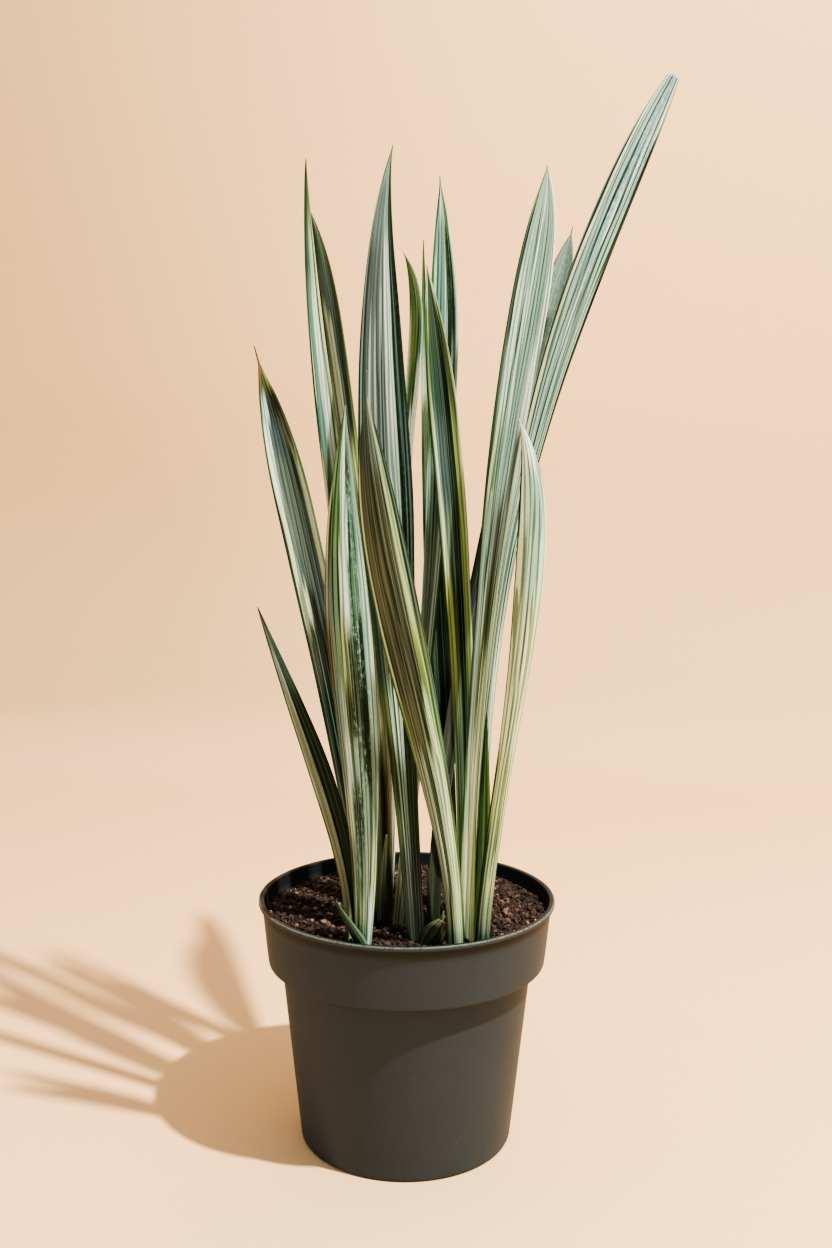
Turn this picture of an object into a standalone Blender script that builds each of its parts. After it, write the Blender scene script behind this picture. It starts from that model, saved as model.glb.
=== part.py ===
"""Variegated snake plant growing in a plastic nursery pot.

The pot stands on z = 0 with its axis on the Z axis, and -Y is the front.
Every leaf is a channelled strap blade that stands in a plain slot in the soil.
"""
from collections import namedtuple
from math import cos, pi, radians, sin

import bmesh
import bpy
from mathutils import Vector

MM = 0.001
COLLECTION_NAME = "potted_snake_plant"
CUTTER_COLLECTION_NAME = "cutters"

# Nursery pot, in millimetres
RIM_RADIUS = 105.0
POT_HEIGHT = 175.0
LIP_HEIGHT = 3.0
LIP_ROUND = 0.8
COLLAR_TOP_RADIUS = 102.6
COLLAR_FOOT_RADIUS = 98.3
COLLAR_FOOT_HEIGHT = 130.0
CHAMFER = 0.6
BODY_TOP_RADIUS = 89.1
COLLAR_ROOT = 1.0
BASE_RADIUS = 75.6
BASE_FILLET = 3.0
WALL = 1.8
FLOOR = 2.6
TURN_STEPS = 56
DRAIN_HOLES = 6
DRAIN_RING_RADIUS = 58.0
DRAIN_HOLE_RADIUS = 5.0
DRAIN_HOLE_SIDES = 12

# Soil, in millimetres
SOIL_HEIGHT = 165.0
SOIL_RINGS = 9
SOIL_DOME = 1.5
SOIL_LUMP = 2.2
CLEARANCE = 0.3
# each wave: radians a millimetre, direction in radians, phase in radians
CRUMB_WAVES = ((0.11, 0.4, 0.9), (0.19, 2.1, -0.6), (0.31, 4.0, 2.3))

# Leaf blades, in millimetres
BLADE_THICKNESS = 3.0
EDGE_SHARE = 0.32
TIP_THINNING = 0.35
BLADE_COLUMNS = 6
ROW_PITCH = 32.0
FEWEST_ROWS = 5
ROW_CROWDING = 1.35
CHANNEL_ROUNDNESS = 1.5
NOD_POWER = 16
SLOT_MARGIN = 0.4
SLOT_RISE = 12.0

# Finish: base colour and roughness
POT_PLASTIC = ((0.060, 0.056, 0.044), 0.55)
POTTING_SOIL = ((0.030, 0.018, 0.014), 0.95)
LEAF_ROUGHNESS = 0.45
SILVER = (0.42, 0.50, 0.42)
FRESH_GREEN = (0.16, 0.30, 0.12)
DARK_GREEN = (0.05, 0.12, 0.06)
TEAL_GREEN = (0.14, 0.27, 0.20)
OLIVE = (0.13, 0.16, 0.05)
GREY_GREEN = (0.20, 0.25, 0.20)
KHAKI = (0.30, 0.28, 0.14)
DRY_BROWN = (0.12, 0.07, 0.03)
DRY_STRAW = (0.35, 0.31, 0.24)

# What one blade's numbers mean:
#   foot    x, y where it leaves the soil
#   tip     x, y, z of its end
#   low     how far the midrib stands aside, towards +X, of the line from foot to tip, a third of the way up
#   high    the same, two thirds of the way up
#   nod     how far the last stretch bends aside, towards +X
#   neck    width at the soil
#   width   width at the widest place
#   end     width at the very tip
#   widest  where the widest place is, as a share of the height
#   swell   how late the neck widens
#   taper   how late the blade narrows
#   awl     length of the thin point on the tip
#   root    how deep it stands in the soil
#   facing  where the hollow side looks at the soil and at the tip, in degrees: 0 the front, 90 the right
#   fold    how steep the two flanks are at the soil and at the tip, in degrees
Leaf = namedtuple(
    "Leaf",
    "foot tip low high nod neck width end widest swell taper awl root facing fold colour",
    defaults=(0, 0, 0, 12, 20, 1.2, 0.7, 1, 2.0, 4, 24, (0, 0), (35, 22), SILVER),
)

LEAVES = {
    "leaf_tall_left": Leaf((-28, -26), (-70, 0, 682), low=6, high=-2, neck=12, width=17, widest=0.60,
                           taper=2.0, awl=6, facing=(15, 40), fold=(35, 25), colour=TEAL_GREEN),
    "leaf_olive_left": Leaf((-15, -22), (-73, 62, 661), low=10, high=6, nod=-8, neck=13, width=18,
                            widest=0.80, taper=2.8, awl=5, facing=(200, 205), fold=(35, 25),
                            colour=OLIVE),
    "leaf_front_left": Leaf((-28, -82), (-38, -105, 514), low=2, high=-3, neck=14, width=32, widest=0.62,
                            swell=1.2, taper=1.5, facing=(180, 185), colour=SILVER),
    "leaf_centre_tall": Leaf((6, -64), (-12, 5, 692), low=-6, high=-9, nod=6, neck=15, width=40,
                             widest=0.58, swell=2.5, taper=1.7, awl=6, facing=(10, 10),
                             colour=GREY_GREEN),
    "leaf_khaki_front": Leaf((33, -84), (-24, -135, 533), low=2, high=-7, neck=13, width=31, widest=0.62,
                             swell=2.7, taper=2.7, awl=17, facing=(185, 150), fold=(30, 18),
                             colour=KHAKI),
    "leaf_brown_tip": Leaf((-24, -46), (-102, -30, 556), low=7, high=7, neck=12, width=27, widest=0.68,
                           taper=2.8, awl=12, fold=(35, 25), colour=GREY_GREEN),
    "leaf_short_left": Leaf((-35, -62), (-95, -80, 389), low=10, high=7, neck=12, width=18, widest=0.50,
                            taper=1.4, facing=(10, 10), fold=(40, 30), colour=DARK_GREEN),
    "leaf_young_shoot": Leaf((-26, -91), (-45, -91, 201), low=1, neck=9, width=9, end=1.0, widest=0.10,
                             taper=1.3, awl=0, facing=(190, 190), fold=(35, 25), colour=FRESH_GREEN),
    "leaf_olive_centre": Leaf((-12, 9), (-7, 20, 628), low=-6, high=-10, nod=-26, neck=11, width=14,
                              widest=0.81, swell=1.1, taper=4.1, awl=6, facing=(-57, -40),
                              fold=(30, 25), colour=OLIVE),
    "leaf_dark_spike": Leaf((32, -6), (9, 55, 639), low=-2, high=-3, neck=11, width=19, widest=0.45,
                            taper=1.2, awl=12, facing=(10, 10), fold=(35, 30), colour=DARK_GREEN),
    "leaf_green_centre": Leaf((40, -46), (11, -15, 611), low=7, high=7, neck=12, width=22, widest=0.74,
                              swell=2.2, taper=2.2, fold=(30, 22), colour=FRESH_GREEN),
    "leaf_back_centre": Leaf((-6, -44), (20, 30, 678), low=8, high=10, neck=10, width=22, widest=0.76,
                             swell=5, taper=2.2, awl=8, facing=(0, 10), colour=TEAL_GREEN),
    "leaf_tall_right": Leaf((40, -69), (89, -25, 673), low=-12, high=-12, nod=-6, neck=11, width=26,
                            end=1.4, widest=0.78, swell=5, taper=3.2, awl=3, facing=(0, 5),
                            fold=(35, 15), colour=SILVER),
    "leaf_grey_back": Leaf((18, -44), (123, 120, 661), low=-15, high=-6, neck=11, width=25, widest=0.72,
                           swell=3, taper=2.8, awl=7, facing=(0, -10), fold=(35, 20), colour=GREY_GREEN),
    "leaf_long_right": Leaf((52, -42), (178, 20, 742), low=-35, high=-36, neck=9, width=24, end=9,
                            widest=0.80, swell=7, taper=2.8, awl=0, facing=(180, 185), fold=(35, 12),
                            colour=SILVER),
    "leaf_front_right": Leaf((50, -81), (65, -125, 506), low=3, high=9, nod=-7, neck=11, width=20,
                             widest=0.74, swell=7, taper=2.6, facing=(185, 190), fold=(30, 20),
                             colour=SILVER),
    "leaf_olive_right": Leaf((46, -58), (53, -42, 316), low=2, high=1, neck=9, width=10, widest=0.40,
                             taper=1.6, facing=(20, 20), fold=(30, 25), colour=OLIVE),
    "dry_sheath_front": Leaf((14, -77), (24, -75, 182), neck=16, width=18, end=7.0, widest=0.40,
                             taper=1.6, awl=0, root=6, facing=(185, 175), fold=(30, 20),
                             colour=DRY_BROWN),
    "dry_sheath_left": Leaf((-8, -32), (-5, -30, 188), neck=8, width=9, end=2.6, widest=0.30, taper=1.6,
                            awl=0, root=6, facing=(185, 175), fold=(30, 20), colour=DRY_BROWN),
    "dry_strand": Leaf((22, -62), (25, -60, 184), neck=3, width=4, end=1.0, widest=0.30, taper=1.4,
                       awl=0, root=6, fold=(25, 20), colour=DRY_STRAW),
}


def clear_scene():
    for obj in list(bpy.data.objects):
        bpy.data.objects.remove(obj, do_unlink=True)


def new_collection(name):
    collection = bpy.data.collections.new(name)
    bpy.context.scene.collection.children.link(collection)
    return collection


def make_material(name, colour, roughness):
    material = bpy.data.materials.new(name)
    material.use_nodes = True
    shader = material.node_tree.nodes["Principled BSDF"]
    shader.inputs["Base Color"].default_value = (*colour, 1.0)
    shader.inputs["Roughness"].default_value = roughness
    shader.inputs["Metallic"].default_value = 0.0
    return material


def new_object(name, mesh, collection):
    obj = bpy.data.objects.new(name, mesh)
    collection.objects.link(obj)
    return obj


def hide_helper(obj):
    obj.hide_render = True
    obj.display_type = "WIRE"


def cut(obj, cutter):
    boolean = obj.modifiers.new("cut_" + cutter.name, "BOOLEAN")
    boolean.operation = "DIFFERENCE"
    boolean.solver = "EXACT"
    boolean.object = cutter


def turned_object(name, profile, collection):
    """A turned solid; the profile is radius and height pairs and runs down the outer side."""
    corners = [(radius * MM, 0.0, height * MM) for radius, height in profile]
    edges = [(i, i + 1) for i in range(len(corners) - 1)]
    mesh = bpy.data.meshes.new(name)
    mesh.from_pydata(corners, edges, [])
    obj = new_object(name, mesh, collection)
    screw = obj.modifiers.new("turn", "SCREW")
    screw.axis = "Z"
    screw.angle = 2.0 * pi
    screw.steps = TURN_STEPS
    screw.render_steps = TURN_STEPS
    screw.use_merge_vertices = True
    screw.merge_threshold = 0.0001
    return obj


def bake_modifiers(obj):
    """Replaces the object's mesh by its evaluated one."""
    graph = bpy.context.evaluated_depsgraph_get()
    baked = bpy.data.meshes.new_from_object(obj.evaluated_get(graph))
    obj.modifiers.clear()
    obj.data = baked


def split_into_triangles(mesh):
    shape = bmesh.new()
    shape.from_mesh(mesh)
    bmesh.ops.triangulate(shape, faces=shape.faces[:])
    shape.to_mesh(mesh)
    shape.free()


def arc_points(centre, radius, first, last, steps):
    """Points of a round corner; the angles are in degrees from the outward direction."""
    angles = [radians(first + (last - first) * i / steps) for i in range(steps + 1)]
    return [(centre[0] + radius * cos(a), centre[1] + radius * sin(a)) for a in angles]


def body_radius(height):
    """Outer radius of the tapered body below the collar."""
    share = (height - BASE_FILLET) / (COLLAR_FOOT_HEIGHT - BASE_FILLET)
    return BASE_RADIUS + (BODY_TOP_RADIUS - BASE_RADIUS) * share


def collar_radius(height):
    """Outer radius of the collar between its foot and the lip."""
    collar_top = POT_HEIGHT - LIP_HEIGHT
    share = (height - COLLAR_FOOT_HEIGHT) / (collar_top - COLLAR_FOOT_HEIGHT)
    return COLLAR_FOOT_RADIUS + (COLLAR_TOP_RADIUS - COLLAR_FOOT_RADIUS) * share


def lip_inner_edge():
    return (collar_radius(POT_HEIGHT) - WALL, POT_HEIGHT)


def inner_profile(gap):
    """The cavity's wall from the collar's ledge down to the floor, moved inwards by the gap."""
    inset = WALL + gap
    ledge = COLLAR_FOOT_HEIGHT + inset
    floor = FLOOR + gap
    return [
        (collar_radius(ledge) - inset, ledge),
        (BODY_TOP_RADIUS - inset, ledge),
        (body_radius(floor) - inset, floor + BASE_FILLET),
        (body_radius(floor) - inset - BASE_FILLET, floor),
        (0.0, floor),
    ]


def outer_profile():
    """From the inner edge of the lip, over it and down the outer side to the axis."""
    lip_foot = POT_HEIGHT - LIP_HEIGHT
    return [
        lip_inner_edge(),
        *arc_points((RIM_RADIUS - LIP_ROUND, POT_HEIGHT - LIP_ROUND), LIP_ROUND, 90, 0, 3),
        (RIM_RADIUS, lip_foot + CHAMFER),
        (RIM_RADIUS - CHAMFER, lip_foot),
        (COLLAR_TOP_RADIUS, lip_foot),
        (COLLAR_FOOT_RADIUS, COLLAR_FOOT_HEIGHT + CHAMFER),
        (COLLAR_FOOT_RADIUS - CHAMFER, COLLAR_FOOT_HEIGHT),
        (BODY_TOP_RADIUS + COLLAR_ROOT, COLLAR_FOOT_HEIGHT),
        (body_radius(COLLAR_FOOT_HEIGHT - COLLAR_ROOT), COLLAR_FOOT_HEIGHT - COLLAR_ROOT),
        *arc_points((BASE_RADIUS - BASE_FILLET, BASE_FILLET), BASE_FILLET, 0, -90, 4),
        (0.0, 0.0),
    ]


def make_drain_cutter(cutters):
    """One mesh of plain cylinders that stand through the pot's floor."""
    shape = bmesh.new()
    for index in range(DRAIN_HOLES):
        made = bmesh.ops.create_cone(shape, cap_ends=True, segments=DRAIN_HOLE_SIDES,
                                     radius1=DRAIN_HOLE_RADIUS * MM, radius2=DRAIN_HOLE_RADIUS * MM,
                                     depth=4.0 * FLOOR * MM)
        angle = 2.0 * pi * (index + 0.5) / DRAIN_HOLES
        place = Vector((cos(angle), sin(angle), 0.0)) * DRAIN_RING_RADIUS * MM
        bmesh.ops.translate(shape, verts=made["verts"], vec=place)
    mesh = bpy.data.meshes.new("drain_cutter")
    shape.to_mesh(mesh)
    shape.free()
    cutter = new_object("drain_cutter", mesh, cutters)
    hide_helper(cutter)
    return cutter


def make_pot(parts, cutters):
    """Thin turned wall: outer side down to the axis, then back up the inside to the lip."""
    profile = outer_profile() + list(reversed(inner_profile(0.0)))
    profile.append(lip_inner_edge())
    pot = turned_object("pot", profile, parts)
    pot.data.materials.append(make_material("olive_grey_plastic", *POT_PLASTIC))
    cut(pot, make_drain_cutter(cutters))
    return pot


def soil_rise(x, y):
    """Low lumps of the soil's surface: a few crossed waves, in millimetres."""
    rise = 0.0
    for pitch, turn, phase in CRUMB_WAVES:
        across = (x * cos(turn) + y * sin(turn)) * pitch
        along = (y * cos(turn) - x * sin(turn)) * pitch
        rise += sin(across + phase) * cos(along - phase)
    reach = (x * x + y * y) / (COLLAR_TOP_RADIUS * COLLAR_TOP_RADIUS)
    return SOIL_LUMP * rise / len(CRUMB_WAVES) + SOIL_DOME * (1.0 - reach)


def make_soil(parts, slots):
    """The filled ground: a turned solid with a lumpy top, cut by the slots that the leaves stand in."""
    edge = collar_radius(SOIL_HEIGHT) - WALL - CLEARANCE
    rings = [(edge * i / SOIL_RINGS, SOIL_HEIGHT) for i in range(SOIL_RINGS + 1)]
    soil = turned_object("soil", rings + inner_profile(CLEARANCE), parts)
    soil.data.materials.append(make_material("dark_potting_soil", *POTTING_SOIL))
    bake_modifiers(soil)
    for vertex in soil.data.vertices:
        x, y, z = vertex.co / MM
        if z > SOIL_HEIGHT - CLEARANCE:
            vertex.co.z = (z + soil_rise(x, y)) * MM
    split_into_triangles(soil.data)
    for slot in slots:
        cut(soil, slot)
    return soil


def low_share(t):
    """Cubic that is 1 a third of the way up and 0 at the foot, at two thirds and at the tip."""
    return 13.5 * t * (2.0 / 3.0 - t) * (1.0 - t)


def high_share(t):
    """Cubic that is 1 two thirds of the way up and 0 at the foot, at one third and at the tip."""
    return 13.5 * t * (t - 1.0 / 3.0) * (1.0 - t)


def leaf_height(leaf):
    return leaf.tip[2] - SOIL_HEIGHT


def midrib(leaf, t):
    """The midrib's point at the share t of the leaf's height; below the soil it runs on straight."""
    if t < 0.0:
        step = 0.01
        return midrib(leaf, 0.0) + (midrib(leaf, step) - midrib(leaf, 0.0)) * (t / step)
    sideways = Vector((1.0, 0.0, 0.0))
    straight = Vector((*leaf.foot, SOIL_HEIGHT)).lerp(Vector(leaf.tip) - sideways * leaf.nod, t)
    aside = leaf.low * low_share(t) + leaf.high * high_share(t) + leaf.nod * t ** NOD_POWER
    return straight + sideways * aside


def blade_width(leaf, t):
    awl_start = 1.0 - leaf.awl / leaf_height(leaf)
    if t >= awl_start:
        return leaf.end
    if t > leaf.widest:
        share = (t - leaf.widest) / (awl_start - leaf.widest)
        return leaf.end + (leaf.width - leaf.end) * (1.0 - share ** leaf.taper)
    rise = sin(0.5 * pi * max(t, 0.0) / leaf.widest) ** leaf.swell
    return leaf.neck + (leaf.width - leaf.neck) * rise


def between(pair, t):
    """The angle, in radians, between the pair's values at the soil and at the tip."""
    share = min(max(t, 0.0), 1.0)
    return radians(pair[0] + (pair[1] - pair[0]) * share)


def blade_point(leaf, t, across, margin):
    """A point of the blade's middle surface; across runs from -1 to 1 between its edges."""
    step = 0.005
    along = (midrib(leaf, t + step) - midrib(leaf, t - step)).normalized()
    facing = between(leaf.facing, t)
    side = along.cross(Vector((sin(facing), -cos(facing), 0.0))).normalized()
    face = side.cross(along).normalized()
    fold = between(leaf.fold, t)
    half = 0.5 * blade_width(leaf, t)
    reach = (half * cos(fold) + margin) * across
    lift = half * sin(fold) * abs(across) ** CHANNEL_ROUNDNESS
    return (midrib(leaf, t) + side * reach + face * lift) * MM


def blade_rows(leaf):
    """Shares of the height at which the blade's rows lie, closer together towards the tip."""
    height = leaf_height(leaf)
    lowest = min(SLOT_RISE / height, 0.8)
    count = max(FEWEST_ROWS, round(height / ROW_PITCH))
    climb = [1.0 - (1.0 - lowest) * (1.0 - i / count) ** ROW_CROWDING for i in range(count + 1)]
    return [-leaf.root / height] + climb


def blade_object(name, leaf, collection, rows, margin=0.0):
    """A strap blade through the rows: a grid bent to the leaf's shape, with a thickness."""
    shape = bmesh.new()
    bmesh.ops.create_grid(shape, x_segments=BLADE_COLUMNS, y_segments=len(rows) - 1, size=1.0)
    thickest = BLADE_THICKNESS + 2.0 * margin
    weights = []
    for vertex in shape.verts:
        across = vertex.co.x
        t = rows[round(0.5 * (vertex.co.y + 1.0) * (len(rows) - 1))]
        vertex.co = blade_point(leaf, t, across, margin)
        belly = EDGE_SHARE + (1.0 - EDGE_SHARE) * (1.0 - across * across)
        thickness = BLADE_THICKNESS * belly * (1.0 - TIP_THINNING * max(t, 0.0)) + 2.0 * margin
        weights.append(thickness / thickest)
    bmesh.ops.triangulate(shape, faces=shape.faces[:])
    mesh = bpy.data.meshes.new(name)
    shape.to_mesh(mesh)
    shape.free()
    obj = new_object(name, mesh, collection)
    group = obj.vertex_groups.new(name="thickness")
    for index, weight in enumerate(weights):
        group.add([index], weight, "REPLACE")
    solidify = obj.modifiers.new("thickness", "SOLIDIFY")
    solidify.thickness = thickest * MM
    solidify.offset = 0.0
    solidify.vertex_group = group.name
    return obj


def make_leaf(name, leaf, parts):
    blade = blade_object(name, leaf, parts, blade_rows(leaf))
    blade.data.materials.append(make_material(name + "_skin", leaf.colour, LEAF_ROUGHNESS))
    return blade


def make_slot(name, leaf, cutters):
    """The plain hole that a leaf stands in: the leaf's own foot, a little larger."""
    first, last = blade_rows(leaf)[:2]
    deeper = first - SLOT_MARGIN / leaf_height(leaf)
    slot = blade_object("slot_" + name, leaf, cutters, [deeper, last], SLOT_MARGIN)
    hide_helper(slot)
    return slot


def build():
    clear_scene()
    parts = new_collection(COLLECTION_NAME)
    cutters = new_collection(CUTTER_COLLECTION_NAME)
    make_pot(parts, cutters)
    slots = [make_slot(name, leaf, cutters) for name, leaf in LEAVES.items()]
    make_soil(parts, slots)
    for name, leaf in LEAVES.items():
        make_leaf(name, leaf, parts)


build()
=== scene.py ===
"""Variegated snake plant in a nursery pot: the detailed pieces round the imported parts.

The pot stands on z = 0 with its axis on the Z axis, and -Y is the front.
"""

from collections import namedtuple
from math import cos, pi, radians, sin

import bmesh
import bpy
import numpy as np
from mathutils import Euler, Matrix, Vector, noise


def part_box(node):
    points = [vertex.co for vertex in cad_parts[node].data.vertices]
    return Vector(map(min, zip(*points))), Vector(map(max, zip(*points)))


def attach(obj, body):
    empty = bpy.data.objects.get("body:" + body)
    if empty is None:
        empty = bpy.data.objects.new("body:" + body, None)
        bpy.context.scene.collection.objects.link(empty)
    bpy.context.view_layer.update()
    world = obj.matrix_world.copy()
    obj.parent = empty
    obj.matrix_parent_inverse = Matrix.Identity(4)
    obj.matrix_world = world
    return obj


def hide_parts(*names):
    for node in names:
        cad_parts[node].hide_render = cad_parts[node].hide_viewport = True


bl_info = {
    "name": "Potted snake plant",
    "version": (1, 0, 0),
    "blender": (4, 5, 0),
    "location": "3D View > Sidebar > Snake plant",
    "description": "Builds a variegated snake plant in its nursery pot",
    "category": "Object",
}

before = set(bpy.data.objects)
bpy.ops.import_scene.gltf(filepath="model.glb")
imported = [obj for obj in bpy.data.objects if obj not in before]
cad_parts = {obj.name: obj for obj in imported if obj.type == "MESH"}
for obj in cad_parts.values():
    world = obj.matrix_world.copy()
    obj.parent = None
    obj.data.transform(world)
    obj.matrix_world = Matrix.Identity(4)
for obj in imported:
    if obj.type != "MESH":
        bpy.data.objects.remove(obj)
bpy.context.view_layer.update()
BODY = "root"
MM = 0.001

# Pot, in millimetres
RIM_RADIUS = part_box("pot")[1].x / MM
POT_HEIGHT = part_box("pot")[1].z / MM
LIP_HEIGHT = 3.0
LIP_ROUND = 0.8
COLLAR_TOP_RADIUS = 102.6
COLLAR_FOOT_RADIUS = 98.3
COLLAR_FOOT_HEIGHT = 130.0
COLLAR_ROUND = 1.4
BODY_TOP_RADIUS = 89.1
BASE_RADIUS = 75.6
BASE_FILLET = 3.0
WALL = 1.8
FLOOR = 2.6
DRAIN_HOLES = 6
DRAIN_RING_RADIUS = 58.0
DRAIN_HOLE_RADIUS = 5.0

# Soil, in millimetres
SOIL_HEIGHT = 165.0
SOIL_DOME = 1.5
CLEARANCE = 0.3
# larger clods: place across and along, radius, tone
CLODS = (
    (-56, -33, 3.0, 0.96), (-61, -24, 2.4, 0.90), (-50, -41, 2.2, 0.88), (-44, -46, 2.0, 0.84),
    (70, -32, 2.6, 0.84), (72, -24, 3.0, 0.90), (69, -15, 3.2, 0.86), (71, -6, 3.0, 0.92),
    (68, 4, 2.8, 0.84), (72, 12, 2.4, 0.88), (66, 20, 2.4, 0.80), (78, -10, 2.2, 0.76),
    (-64, 10, 2.6, 0.80), (-54, 22, 2.4, 0.74), (-72, -6, 2.2, 0.72), (-48, 34, 2.2, 0.78),
)

# Leaf blades, in millimetres
BLADE_THICKNESS = 3.0
EDGE_SHARE = 0.32
TIP_THINNING = 0.35
CHANNEL_ROUNDNESS = 1.5
NOD_POWER = 16
ROW_CROWDING = 1.35

# Markings: soft border of a stripe, as a share of the width; part of a section that is free of its
# neighbours; how far the ribs sway, in ribs; colour that the grooves between the ribs take on
STRIPE_BORDER = 0.012
SECTION_BORDER = 0.22
RIB_SWAY = 4.0
RIB_TINT = (0.08, 0.17, 0.13, 1.0)

# Streaks on a blade: changes a millimetre across and along, and a number of their own
DRIFT = (0.22, 0.009, 0.0)
FINGERS = (0.90, 0.010, 7.0)
SWAY = (0.11, 0.005, 13.0)
PRESENCE = (0.36, 0.006, 15.0)
THREADS = (0.80, 0.004, 17.0)
SPECKS = (0.50, 0.260, 21.0)
PATCHES = (0.15, 0.035, 31.0)
FIBRES = (1.90, 0.012, 43.0)
CLOUDS = (0.20, 0.020, 51.0)
GRAIN = (2.40, 1.100, 61.0)

# Camera: the picture is 832 x 1248 pixels
PICTURE_HEIGHT = 1248
FOCAL_PIXELS = 1300
SENSOR = 36.0
CAMERA_PLACE = (0.00533, -0.89838, 0.47579)
CAMERA_DIP = 0.118
CAMERA_ROLL = 0.006

# Key light; the backdrop's near and far end, the radius of its bend, half its width and its height
KEY_PLACE = (1.14, -0.90, 2.60)
KEY_TARGET = (0.0, 0.0, 0.25)
KEY_COLOUR = (1.0, 0.925, 0.83)
SWEEP_NEAR = -2.2
SWEEP_FAR = 0.95
SWEEP_BEND = 0.55
SWEEP_SIDE = 3.5
SWEEP_TOP = 3.2
SWEEP_STEPS = 12

# Surface colour for a screen colour on this stage: gain of each channel, and the least of any
PAINT_GAINS = (0.72, 0.82, 0.85)
PAINT_FLOOR = 0.014


def paint(red, green, blue, spots=0.0):
    """The surface colour that shows as this screen colour, 0 to 255 a channel, and how mottled it is."""
    linear = [((c / 255 + 0.055) / 1.055) ** 2.4 for c in (red, green, blue)]
    return (*(gain * c + PAINT_FLOOR for gain, c in zip(PAINT_GAINS, linear)), spots)


WHITE = paint(228, 232, 218)
CREAM = paint(212, 210, 172)
BUTTER = paint(190, 194, 150)
PALE = paint(186, 204, 184)
SILVER = paint(150, 174, 158)
ICE = paint(182, 202, 196)
TEAL = paint(100, 140, 124)
SPRUCE = paint(66, 96, 82)
POOL = paint(48, 82, 62)
SLATE = paint(88, 104, 102)
GREY = paint(112, 122, 108)
ASH = paint(158, 156, 140)
SAGE = paint(164, 176, 140)
IRON = paint(80, 88, 84)
LICHEN = paint(122, 136, 116)
GREEN = paint(80, 118, 58)
BRIGHT = paint(92, 142, 62)
YELLOW = paint(170, 178, 110)
OLIVE = paint(88, 96, 46)
MOSS = paint(58, 76, 32)
DEEP = paint(36, 64, 38)
NIGHT = (0.006, 0.027, 0.011, 0.0)
KHAKI = paint(110, 106, 80)
DUN = paint(83, 84, 62)
TAN = paint(164, 156, 122)
UMBER = paint(46, 50, 34)
RUST = paint(160, 96, 44)
STRAW = paint(180, 170, 136)
BARK = paint(70, 48, 32)
FLECK_DEEP = paint(36, 64, 38, 0.75)
FLECK_DARK = (0.014, 0.038, 0.018, 0.5)
FLECK_PALE = paint(186, 204, 184, 0.5)
FLECK_SILVER = paint(140, 162, 142, 0.6)
FLECK_TEAL = paint(78, 112, 88, 0.9)
FLECK_BLUE = paint(120, 148, 142, 0.6)
FLECK_GREY = paint(116, 130, 112, 0.6)
RUSSET = paint(110, 60, 36)
FOX = paint(140, 84, 52)
MAROON = paint(96, 50, 34)
CHESTNUT = paint(96, 60, 38)
SOIL_TONES = (
    (0.00, paint(46, 33, 29)), (0.45, paint(88, 62, 54)), (0.80, paint(120, 88, 76)),
    (0.92, paint(146, 112, 92)), (0.97, paint(206, 164, 138)), (1.00, paint(218, 212, 204)),
)
POT_DUST = paint(150, 148, 132)
# painted shade: near-black colour for the inside of the pot above the soil
POT_INSIDE_SHADE = paint(24, 26, 22)
# painted highlight: light colour along the outer edge of the lip
LIP_HIGHLIGHT = paint(150, 150, 136)

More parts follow.
